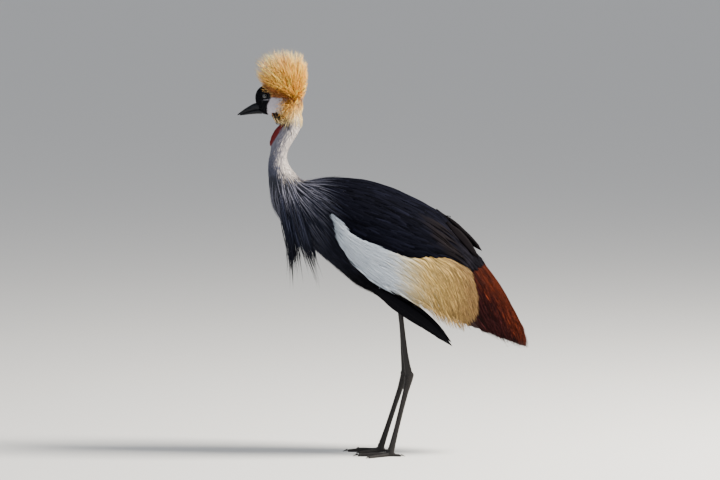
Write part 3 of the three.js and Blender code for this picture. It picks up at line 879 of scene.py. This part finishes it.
# By slot: how far in m each feather's colour may come from, and how much lighter or darker it may be
STREAK = {"neck": 0.008, "slate": 0.022, "coverts": 0.010, "straw": 0.022, "chestnut": 0.013}
SHADE = {"neck": 0.05, "slate": 0.35, "coverts": 0.02, "straw": 0.38, "chestnut": 0.55}
# How many stations past the edge of its parts a feather may run
RAGGED, RAGGED_STRAW, RAGGED_RUMP = 0.7, 1.7, 2.5
STRAIGHT = 0.8  # the least chord of a feather, as a share of its length


def facing_out(surface):
    """Which triangles of the wings face away from the body, and so carry feathers."""
    out = surface.face_normal[:, 1] * np.sign(surface.centre[:, 1]) > OUTWARD
    return ~np.isin(surface.part, WING_PARTS) | out | (surface.face_normal[:, 2] > UPWARD)


def tidy(surface, path, loose):
    """Which feathers keep near the skin, inside the bird's own box and fairly straight."""
    gap = np.linalg.norm(path[:, -1] - surface.nearest(path[:, -1])[0], axis=1)
    chord = np.linalg.norm(path[:, -1] - path[:, 0], axis=1)
    straight = chord > STRAIGHT * np.linalg.norm(np.diff(path, axis=1), axis=2).sum(1)
    low, high = np.array(cad_box[0]), np.array(cad_box[1])
    margin = (high - low) * 0.02 + 6 * MM
    inside = ((path > low - margin) & (path < high + margin)).all((1, 2))
    return (gap < loose) & inside & straight


def over_rump(path, on):
    """Whether each feather leaves its own parts at the rump, where its tip may run on a little."""
    behind, above = 215 * MM, 480 * MM
    first = np.argmin(on, 1)
    place = path[np.arange(len(path)), first]
    return ~on.all(1) & (place[:, 0] > behind) & (place[:, 2] > above)


def cut_at_edge(surface, path, ups, allowed, ragged):
    """Shortens each feather so that its tip ends near the edge of the parts it may cover."""
    count, stations, _ = path.shape
    on = np.isin(surface.part_at(path.reshape(-1, 3)), allowed).reshape(count, stations)
    last = np.where(on.all(1), stations - 1, np.argmin(on, 1) - 0.4)
    last = last + rng.uniform(0, 1, count) * np.where(over_rump(path, on), RAGGED_RUMP, ragged)
    last = np.minimum(last, stations - 1)
    keep = last > 1.5
    path, ups, last = path[keep], ups[keep], last[keep]
    at = last[:, None] * np.linspace(0, 1, stations)[None]
    low = np.minimum(at.astype(int), stations - 2)
    share = (at - low)[..., None]
    rows = np.arange(len(path))[:, None]
    path = path[rows, low] * (1 - share) + path[rows, low + 1] * share
    ups = unit(ups[rows, low] * (1 - share) + ups[rows, low + 1] * share)
    return path, ups


def grow_coats(surface):
    out = facing_out(surface)
    for name, parts, reach, stations, slot, sizes in COATS:
        spacing, length, width, rise, loose = np.array(sizes) * MM
        section, outline = SHAPES.get(name, SHAPES.get(slot, (STRAND, pointed)))
        chosen = np.isin(surface.part, parts) & out
        for side, sign in SIDES.items():
            if name.endswith(side):
                chosen &= surface.centre[:, 1] * sign > 0
        if name.endswith("loose"):
            chosen &= surface.centre[:, 2] < HACKLE_TOP
        roots, normals = surface.scatter(chosen, spacing)
        long = length * rng.uniform(0.75, 1.2, len(roots))
        path, ups = lay(surface, roots, normals, lie_at(roots), long, rise, stations, droop=0.05)
        keep = tidy(surface, path, loose)
        path, ups = path[keep], ups[keep]
        if reach:
            ragged = RAGGED_STRAW if slot == "straw" else RAGGED
            path, ups = cut_at_edge(surface, path, ups, reach, ragged)
        count = len(path)
        s = np.linspace(0, 1, stations)
        wide = width / 2 * rng.uniform(0.8, 1.2, (count, 1)) * outline(s)[None]
        thick = np.maximum(wide * 0.22, 0.14 * MM)
        streak = rng.normal(0, STREAK[slot], (count, 3))
        kind = np.full(count, parts[0])
        tint = np.stack([markings(path[:, k] + streak, kind) for k in range(stations)], 1)
        each = np.exp(rng.normal(0, SHADE[slot], (count, 1, 1)))
        tint *= each * (1 - 0.2 * (1 - s) ** 2)[None, :, None]
        if name.endswith("loose"):
            tint = mix(tint, PEARL_COOL, hackle_share(path))
        vanes(name, path, ups, wide, thick, tint, section, slot)


def hackle_share(p):
    """How pale the loose feathers are: most of all in front, below the neck."""
    return 0.6 * smoothstep(-p[..., 0], 110 * MM, 190 * MM) * smoothstep(p[..., 2], 500 * MM, 620 * MM)


def make_long_tertials(surface):
    """The long inner wing feathers that lie over the rump, each overlapping the next."""
    count, stations = LONG_TERTIALS, 12
    share = np.linspace(0, 1, count)
    s = np.linspace(0, 1, stations)
    first, last = np.array([35, 62, 640]), np.array([112, 104, 548])
    for side, sign in SIDES.items():
        line = mix(first, last, share) * np.array([1, sign, 1]) * MM
        spot, normal = surface.nearest(line)
        length = (175 - 50 * share) * rng.uniform(0.92, 1.06, count) * MM
        path, ups = lay(surface, spot, normal, lie_at(spot), length, 6.5 * MM, stations, stiff=0.6)
        wide = 7.5 * MM * pointed(s * 0.97)[None] * rng.uniform(0.85, 1.15, (count, 1))
        tint = mix(NAVY, BROWN_GREY, smoothstep(s, 0.1, 0.7))[None] * rng.uniform(0.7, 1.5, (count, 1, 1))
        vanes(f"long_tertials_{side}", path, ups, wide, wide * 0.1, tint, VANE, "slate")


def short_coat(name, slot, surface, here, sizes, lengths, colour, shades):
    """Very short feathers on the head: spacing, rise, half width and thickness, and lengths, in mm."""
    spacing, rise, half, thick = np.array(sizes) * MM
    roots, normals = surface.scatter(here, spacing)
    count, stations = len(roots), 4
    length = rng.uniform(*lengths, count) * MM
    path, ups = lay(surface, roots, normals, lie_at(roots), length, rise, stations)
    wide = half * rng.uniform(0.8, 1.2, (count, 1)) * pointed(np.linspace(0, 1, stations))[None]
    tint = np.tile(np.array(colour), (count, stations, 1)) * rng.uniform(*shades, (count, 1, 1))
    vanes(name, path, ups, wide, wide * (thick / half), tint, STRAND, slot)


def make_cap(surface):
    """The velvet of the forehead, crown and chin, clear of the eyes."""
    dx, dz = from_eye(surface.centre)
    dark = head_marks(surface.centre).max(1) < 0.03
    clear = (np.hypot(dx, dz) > 10.5) | (np.abs(surface.centre[:, 1]) < 10 * MM)
    here = (surface.part == "head") & dark & clear
    short_coat("coat_cap", "cap", surface, here, (1.35, 1.1, 0.5, 0.25), (3.2, 5.0), BLACK, (0.6, 1.6))


def make_nape(surface):
    """Small pale feathers of the back of the head, under the crown."""
    here = (surface.part == "head") & (from_eye(surface.centre)[0] > 30)
    here &= cheek_share(surface.centre) < 0.2
    pale = mix(PEARL, GOLD_PALE, 0.25)
    short_coat("coat_nape", "neck", surface, here, (2.0, 1.8, 1.0, 0.4), (8, 12), pale, (0.75, 1.1))


def surface_points(node, count):
    """Evenly drawn places on a CAD node."""
    co, tris, _ = soup([node])
    area = np.linalg.norm(cross_of(co[tris]), axis=1) / 2
    return draw_on(co[tris], area, count)[0]


def outline_reach(node, start, way):
    """How far the outside of a CAD node is from the start along each way."""
    co, tris, _ = soup([node])
    tree = tree_of(co, tris)
    far = 0.5
    hits = [tree.ray_cast(Vector(start + w * far), Vector(-w)) for w in way]
    return np.array([far - hit[3] if hit[0] is not None else 0.0 for hit in hits])


def make_crown(surface):
    """Stiff golden bristles that fan from the back of the head to the crown's outline."""
    stations = 8
    aims = surface_points("crown", CROWN_BRISTLES * 2)
    aims[:, 1] *= np.where(rng.random(len(aims)) < 0.5, rng.random(len(aims)), 1)
    way = unit(aims - CREST_ROOT)
    reach = outline_reach("crown", CREST_ROOT, way)
    behind, above = from_eye(CREST_ROOT + way * reach[:, None])
    over_cheek = (behind < rng.normal(23, 4, len(way))) & (above < -6)
    good = (reach > 30 * MM) & ~over_cheek
    way, reach = way[good][:CROWN_BRISTLES], reach[good][:CROWN_BRISTLES]
    count = len(way)
    full = rng.random(count) < 0.55
    reach = reach * np.where(full, rng.uniform(0.9, 1.06, count), rng.uniform(0.55, 0.95, count))
    start = CREST_ROOT + way * (reach * 0.1)[:, None]
    spot, normal = surface.nearest(start + rng.normal(0, 1, (count, 3)) * np.array([7, 7, 5]) * MM)
    ends = CREST_ROOT + way * reach[:, None]
    s = np.linspace(0, 1, stations)
    straight = spot[:, None] + (ends - spot)[:, None] * s[None, :, None]
    bow = rng.normal(0, 1.8, (count, 3)) * MM + normal * (3 * MM)
    curve = 4 * (s * (1 - s))[None, :, None]
    wiggle = rng.normal(0, 0.3, (count, stations, 3)) * MM
    path = straight + curve * bow[:, None] + wiggle * (s > 0)[None, :, None]
    twist = rng.uniform(0, 2 * np.pi, (count, 1)) + s[None] * rng.uniform(5, 14, (count, 1))
    tangent = unit(ends - spot)
    first = unit(np.cross(tangent, rng.normal(size=(count, 3))))
    second = np.cross(tangent, first)
    ups = first[:, None] * np.cos(twist)[..., None] + second[:, None] * np.sin(twist)[..., None]
    wide = bristle_width(0.58, count, s)
    tint = crown_tint(path, way) * bristle_shade(count)
    turn = np.arctan2(tangent[:, 2], tangent[:, 0]) / (2 * np.pi)
    uv = np.stack([0.5 + tangent[:, 1] / 2, 0.5 + turn], 1)
    obj = vanes("crown_bristles", path, ups, wide, wide * 0.9, tint, STRAND, "crown", uv)
    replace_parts(obj, "crown")


def crown_tint(path, way):
    """Gold that pales outwards from a dark root; the root is longest in the bristles over the brow."""
    out = np.linalg.norm(path - CREST_ROOT, axis=2) / (125 * MM)
    ahead = smoothstep(-way[:, 0], -0.3, 0.8)[:, None]
    forward = -way[:, 0] / np.hypot(way[:, 0], way[:, 2])
    brow = (smoothstep(forward, 0.80, 0.95) * smoothstep(way[:, 2], -0.15, 0.0))[:, None]
    dark_end = 0.06 + 0.1 * ahead + 0.5 * brow
    tint = mix(GOLD_DARK, GOLD, smoothstep(out, dark_end, dark_end + 0.24 + 0.2 * ahead))
    return mix(tint, GOLD_PALE, smoothstep(out, 0.58, 1.25))


def bristle_width(half, count, s):
    return half * MM * rng.uniform(0.75, 1.25, (count, 1)) * (1 - 0.5 * s)[None]


def bristle_shade(count):
    """Some bristles are in shadow or dark themselves; the rest differ a little."""
    shade = np.exp(rng.normal(0, 0.28, (count, 1, 1)))
    shade[rng.random(count) < 0.12] *= 0.3
    return shade


def make_forelock(surface):
    """Sparse bristles that sweep from the crown over the black cap and the rear of the cheek."""
    stations = 6
    gap = np.hypot(surface.centre[:, 0] - CREST_ROOT[0], surface.centre[:, 2] - CREST_ROOT[2]) / MM
    here = (surface.part == "head") & (gap > 8) & (gap < 62) & (from_eye(surface.centre)[0] > 2)
    roots, normals = surface.scatter(here, 2.5 * MM)
    count = len(roots)
    way = unit(roots - CREST_ROOT)
    length = rng.uniform(18, 34, count) * MM * (1 + 0.5 * smoothstep(-way[:, 2], 0.2, 0.8))
    path, ups = lay(surface, roots, normals, way, length, 5.5 * MM, stations, stiff=1.0)
    dx, dz = from_eye(path)
    clear = (np.hypot(dx, dz) > 10).all(1) & (dx > -12).all(1)
    flat = path.reshape(-1, 3) - np.array([9, 0, 0]) * MM
    clear &= (cheek_share(flat).reshape(count, stations) < 0.6).all(1)
    clear &= ((dz > -3) | (dx > 16)).all(1)
    path, ups, way = path[clear], ups[clear], way[clear]
    count = len(path)
    s = np.linspace(0, 1, stations)
    wide = bristle_width(0.42, count, s)
    low = smoothstep(-way[:, 2], 0.0, 0.6)[:, None]
    tint = mix(np.array(GOLD_DARK) * 0.5, GOLD, smoothstep(s[None] + 0.7 * low, 0.4, 1.2))
    tint = mix(tint, GOLD_PALE, smoothstep(s[None] + 0.5 * low, 0.6, 1.3))
    tint *= bristle_shade(count)
    vanes("crown_forelock", path, ups, wide, wide * 0.9, tint, STRAND, "crown")


def make_beard(surface):
    """Black feathers and pale bristles that hang from the chin over the top of the wattle."""
    stations = 6
    dx, dz = from_eye(surface.centre)
    here = (surface.part == "head") & (dz < -42) & (dx > 17) & (dx < 46)
    roots, normals = surface.scatter(here, 1.7 * MM)
    count = len(roots)
    way = unit(np.array([0.35, 0, -1]) + rng.normal(0, 0.12, (count, 3)))
    length = rng.uniform(14, 30, count) * MM
    s = np.linspace(0, 1, stations)
    path = roots[:, None] + way[:, None] * (length[:, None] * s[None])[..., None]
    path[..., 0] += (6 * MM * s ** 2)[None]
    inside = (path[:, -1, 2] > 828 * MM) & (path[:, -1, 0] > -285 * MM)
    path, way = path[inside], way[inside]
    count = len(path)
    ups = np.zeros_like(path)
    ups[..., 1] = np.where(path[:, :1, 1] > 0, 1.0, -1.0)
    wide = bristle_width(0.5, count, s)
    pale = rng.random(count) < 0.35
    tint = np.tile(np.array(BLACK), (count, stations, 1))
    tint[pale] = mix(GOLD_DARK, GOLD_PALE, smoothstep(s, 0.1, 0.7))[None]
    vanes("chin_bristles", path, ups, wide, wide * 0.8, tint, STRAND, "crown")


def spine(node, axis, bins=8):
    """Middle and half size of slices of a CAD node, from its high end to its low end along an axis."""
    p = surface_points(node, 6000)
    order = p[:, axis] * (-1 if axis == 2 else 1)
    edges = np.linspace(order.min(), order.max(), bins + 1)
    middles, halves = [], []
    for low, high in zip(edges[:-1], edges[1:]):
        here = p[(order >= low) & (order <= high)]
        middles.append((here.min(0) + here.max(0)) / 2)
        halves.append((here.max(0) - here.min(0)) / 2)
    middles, halves = np.array(middles), np.array(halves)
    middles[0] += (middles[0] - middles[1]) / 2
    middles[-1] += (middles[-1] - middles[-2]) / 2
    return middles, halves


def along_spine(middles, halves, t):
    index = np.linspace(0, 1, len(middles))
    place = np.stack([np.interp(t, index, middles[:, k]) for k in range(3)], -1)
    size = np.stack([np.interp(t, index, halves[:, k]) for k in range(3)], -1)
    return place, size


def make_hanging_plumes():
    """Long narrow plumes that hang from the base of the neck."""
    stations, per_node = 12, PLUMES_PER_NODE
    s = np.linspace(0, 1, stations)
    for node in ["plume_front"] + [f"plume_{side}_{i}" for side in SIDES for i in (1, 2)]:
        middles, halves = spine(node, 2)
        begin = rng.uniform(-0.06, 0.45, per_node)
        end = np.minimum(begin + rng.uniform(0.4, 0.8, per_node), rng.uniform(0.55, 1.1, per_node))
        t = begin[:, None] + (end - begin)[:, None] * s[None]
        place, size = along_spine(middles, halves, np.clip(t, 0, 1))
        fall = middles[0, 2] - middles[-1, 2]
        place[..., 2] -= (np.minimum(t, 0) + np.maximum(t - 1, 0)) * fall
        spot = rng.uniform(-1, 1, (per_node, 2))
        spot /= np.maximum(np.linalg.norm(spot, axis=1, keepdims=True), 1)
        sway = rng.normal(0, 4 * MM, (per_node, 1)) * s[None] ** 2
        place[..., 0] += spot[:, :1] * (size[..., 0] * 0.8 + 5 * MM * s[None] ** 2) + sway
        place[..., 1] += spot[:, 1:] * size[..., 1] * 0.85
        ups = np.zeros_like(place)
        ups[..., 0] = spot[:, :1] * 0.6 - 0.5
        ups[..., 1] = spot[:, 1:] + np.sign(middles[0, 1]) * 0.6
        wide = rng.uniform(0.7, 1.8, (per_node, 1)) * MM * pointed(s)[None]
        tint = mix(SLATE, BLACK, smoothstep(t, 0.2, 0.9)) * np.exp(rng.normal(0, 0.5, (per_node, 1, 1)))
        uv = np.stack([np.arctan2(spot[:, 1], spot[:, 0]) / (2 * np.pi) + 0.5, begin], 1)
        thick = np.maximum(wide * 0.2, 0.15 * MM)
        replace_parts(vanes(f"{node}_feathers", place, ups, wide, thick, tint, STRAND, "slate", uv), node)


def fan(name, node, count, width, colour, slot, spread):
    """A row of long stiff feathers laid over each other along a CAD node; the outer ones are shorter."""
    stations, shortest = 12, 0.35
    s = np.linspace(0, 1, stations)
    middles, halves = spine(node, 0)
    row = np.linspace(-1, 1, count)
    end = shortest + (1 - shortest) * (1 - np.abs(np.linspace(-0.25, 1, count)) ** 1.4 * spread)
    place, size = along_spine(middles, halves, end[:, None] * s[None])
    place[..., 1] += row[:, None] * np.maximum(size[..., 1] - width / 4, 0) * 0.9
    place[..., 2] += np.linspace(0.7, -0.7, count)[:, None] * np.maximum(size[..., 2] * 0.35, 0)
    ups = np.zeros_like(place)
    flat = abs(middles[0, 1]) < 10 * MM
    ups[..., 2] = 1.0 if flat else 0.35
    ups[..., 1] = row[:, None] * 0.5 if flat else np.sign(middles[0, 1])
    wide = width / 2 * blunt(s)[None] * rng.uniform(0.9, 1.05, (count, 1))
    thick = np.full_like(wide, 0.6 * MM) * blunt(s)[None]
    tint = np.tile(np.array(colour), (count, stations, 1)) * rng.uniform(0.75, 1.3, (count, 1, 1))
    uv = np.stack([(row + 1) / 2, end], 1)
    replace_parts(vanes(name, place, ups, wide, thick, tint, VANE, slot, uv), node)


def make_flight_feathers():
    for side in SIDES:
        fan(f"primaries_{side}", f"wing_{side}_primaries", 9, 24 * MM, BLACK, "black", 0.45)
        fan(f"tertials_{side}", f"wing_{side}_tertials", 6, 20 * MM, BROWN_GREY, "slate", 0.3)
    fan("tail_feathers", "tail", 12, 30 * MM, BLACK, "black", 0.25)


def arcs(node, axis, front, pitch, half_turn):
    """Rows of places round the front of a limb, one arc for each scale, and the way out at each."""
    stations = 9
    co, tris, _ = soup([node])
    tree = tree_of(co, tris)
    middles, _ = spine(node, axis, 14)
    length = np.linalg.norm(np.diff(middles, axis=0), axis=1).sum()
    t = np.linspace(0.0, 1.0, max(int(length / pitch), 2))
    centre, _ = along_spine(middles, middles, t)
    along = unit(np.gradient(centre, axis=0))
    ahead = unit(front - (along @ front)[:, None] * along)
    side = np.cross(along, ahead)
    turn = np.linspace(-half_turn, half_turn, stations)[None, :, None]
    out = ahead[:, None] * np.cos(turn) + side[:, None] * np.sin(turn)
    reach = np.array([
        [tree.ray_cast(Vector(c), Vector(w))[3] or 0 for w in row] for c, row in zip(centre, out)
    ])
    good = (reach > 0.8 * MM).all(1) & (reach < 14 * MM).all(1)
    path = centre[:, None] + out * (reach + 0.15 * MM)[..., None]
    return path[good], out[good]


def make_scutes():
    """Overlapping horny plates down the front of the lower legs and along the top of the toes."""
    paths, ups, widths = [], [], []
    for side in SIDES:
        legs = [(f"tarsus_{side}", 2, (-1, 0, 0), 6.0)]
        legs += [(f"toe_{side}_{toe}", 0, (0, 0, 1), 3.4) for toe in TOE_NAMES]
        for node, axis, front, pitch in legs:
            path, up = arcs(node, axis, np.array(front, float), pitch * MM, math.radians(80))
            paths.append(path)
            ups.append(up)
            widths.append(np.full(len(path), pitch * 0.62 * MM))
    path, up, width = np.concatenate(paths), np.concatenate(ups), np.concatenate(widths)
    path[..., 2] = np.maximum(path[..., 2], 0.8 * MM)
    s = np.linspace(0, 1, path.shape[1])
    wide = width[:, None] * np.sqrt(np.clip(np.sin(np.pi * (0.06 + 0.92 * s)), 0, 1))[None]
    thick = np.full_like(wide, 0.3 * MM)
    tint = np.tile(np.array(LEG), (*path.shape[:2], 1)) * rng.uniform(0.8, 1.5, (len(path), 1, 1))
    uv = np.stack([np.arctan2(path[:, 4, 1], path[:, 4, 0] + 0.1) / (2 * np.pi) + 0.5, path[:, 4, 2]], 1)
    vanes("leg_scutes", path, up, wide, thick, tint, VANE, "leg", uv)


# Bill, eyes and claws

def make_bill():
    material = horn_material("bill_horn", (0.006, 0.0066, 0.0085), 0.42, (1, 6, 6))
    for node in ("bill_upper", "bill_lower"):
        obj = remeshed(f"{node}_horn", [node], 0.7 * MM)
        mesh = obj.data
        smooth_in_place(mesh, 8)
        set_places(mesh, places(mesh) + normals_of(mesh) * 0.5 * MM)
        co = places(mesh)
        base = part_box(node)[1].x
        co[:, 0] += 5 * MM * smoothstep(co[:, 0], base - 14 * MM, base)
        if node == "bill_upper":
            co = carve_nostrils(co)
        set_places(mesh, co)
        finish_piece(obj, material)
        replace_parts(obj, node)


def carve_nostrils(co):
    """A shallow slit on each side of the upper bill, in its rear half."""
    low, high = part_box("bill_upper")
    x0 = high.x - 0.42 * (high.x - low.x)
    z0 = low.z + 0.60 * (high.z - low.z)
    dx = (co[:, 0] - x0) / (6 * MM)
    dz = (co[:, 2] - z0 - 0.25 * (co[:, 0] - x0)) / (1.6 * MM)
    dent = 1.5 * MM * np.exp(-dx ** 2 - dz ** 2)
    co[:, 1] -= np.sign(co[:, 1]) * np.minimum(dent, np.abs(co[:, 1]) * 0.6)
    return co


def make_claws():
    nodes = [f"claw_{side}_{toe}" for side in SIDES for toe in TOE_NAMES]
    obj = remeshed("claws_horn", nodes, 0.45 * MM)
    mesh = obj.data
    smooth_in_place(mesh, 5)
    finish_piece(obj, horn_material("claw_horn", (0.012, 0.011, 0.011), 0.3, (3, 3, 3)))
    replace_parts(obj, *nodes)


def eye_material():
    """An iris painted dim blue-grey as shade over its pale colour, round a black pupil, by distance from
    the eye's own axis.
    """
    material, tree, shader = new_material("eye_wet", 0.12)
    where = add_node(tree, "TexCoord")
    flat = add_node(tree, "Mapping", Vector=where.outputs["Object"], Scale=(1, 0, 1))
    size = add_node(tree, "VectorMath", operation="LENGTH", Vector=flat.outputs["Vector"])
    share = add_node(tree, "Math", operation="DIVIDE", Value=size.outputs["Value"])
    share.inputs[1].default_value = EYE_RADIUS
    # The iris is painted dim, as painted shade over its pale blue-grey
    stops = [(0.0, (0.002, 0.002, 0.002)), (0.38, (0.002, 0.002, 0.002)), (0.42, (0.016, 0.017, 0.020)),
             (0.54, (0.050, 0.055, 0.062)), (0.62, (0.018, 0.020, 0.022)), (0.68, (0.003, 0.003, 0.004))]
    fill(tree, shader, Base_Color=add_ramp(tree, share.outputs["Value"], stops), Specular_IOR_Level=0.25,
         Coat_Weight=0.6, Coat_Roughness=0.02)
    return material


def make_eyes():
    material = eye_material()
    for side, sign in SIDES.items():
        mesh = bpy.data.meshes.new(f"eyeball_{side}")
        with editing(mesh) as bm:
            bmesh.ops.create_uvsphere(bm, u_segments=40, v_segments=28, radius=BALL_RADIUS)
            for v in bm.verts:
                front = max(0.0, v.co.y * sign / BALL_RADIUS)
                v.co.y += sign * 0.4 * MM * smoothstep(front, 0.75, 1.0)
        shade_smooth(mesh)
        obj = add_object(f"eyeball_{side}", mesh)
        obj.location = (EYE.x, BALL_OUT * sign, EYE.z)
        obj.rotation_euler = (0, 0, -sign * EYE_AHEAD)
        finish_piece(obj, material)
        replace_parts(obj, f"eye_{side}")


# Studio

def make_floor():
    half = FLOOR_SIZE / 2
    corners = np.array([(-half, -half, 0), (half, -half, 0), (half, half, 0), (-half, half, 0)])
    floor = mesh_object("floor", corners, [np.array([[0, 1, 2, 3]])])
    material, tree, shader = new_material("floor_paint", 0.9)
    noise = add_node(tree, "TexNoise", Scale=3.0)
    stops = [(0, (0.62, 0.62, 0.61)), (1, (0.68, 0.68, 0.67))]
    fill(tree, shader, Base_Color=add_ramp(tree, noise.outputs["Fac"], stops))
    floor.data.materials.append(material)


def area_light(name, place, power, size, colour):
    light = bpy.data.lights.new(name, "AREA")
    light.energy = power
    light.size = size
    light.color = colour
    obj = add_object(name, light)
    obj.location = place
    obj.rotation_euler = (CAMERA_TARGET - Vector(place)).to_track_quat("-Z", "Y").to_euler()


def make_lights():
    area_light("key", (3.0, -0.6, 3.4), 880, 1.3, (1.0, 0.94, 0.84))
    area_light("fill", (-2.0, -3.4, 1.8), 60, 2.5, (0.90, 0.95, 1.0))
    world = bpy.data.worlds.new("pale_world")
    world.use_nodes = True
    fill(world.node_tree, world.node_tree.nodes["Background"], Color=(0.93, 0.95, 1.0, 1), Strength=0.62)
    bpy.context.scene.world = world


def make_camera():
    data = bpy.data.cameras.new("camera")
    data.lens = CAMERA_LENS
    data.sensor_width = 36
    data.clip_end = 1000
    camera = add_object("camera", data)
    back = Vector((0, -math.cos(CAMERA_ELEVATION), math.sin(CAMERA_ELEVATION)))
    camera.location = CAMERA_TARGET + back * CAMERA_DISTANCE
    camera.rotation_euler = (-back).to_track_quat("-Z", "Y").to_euler()
    bpy.context.scene.camera = camera


make_camera()
make_lights()
make_floor()
skin = make_skin()
# The feathers' materials, by slot
FEATHERS = {
    "cap": feather_material("velvet", 0.95, 0.01),
    "neck": feather_material("grey_feather", 0.7, 0.2, sheen=0.05),
    "slate": feather_material("slate_feather", 0.75, 0.012),
    "coverts": feather_material("white_feather", 0.7, 0.2, spread=0.05),
    "straw": feather_material("straw_plume", 0.6, 0.2),
    "chestnut": feather_material("chestnut_plume", 0.6, 0.04, spread=0.25),
    "black": feather_material("flight_feather", 0.6, 0.02),
    "leg": feather_material("leg_scale", 0.5, 0.15, barb_strength=0.0),
    "crown": feather_material("bristle", 0.5, 0.2, spread=0.12),
}
for grow in (grow_coats, make_long_tertials, make_cap, make_nape, make_crown, make_forelock, make_beard):
    grow(skin)
make_hanging_plumes()
make_flight_feathers()
make_scutes()
make_bill()
make_claws()
make_eyes()
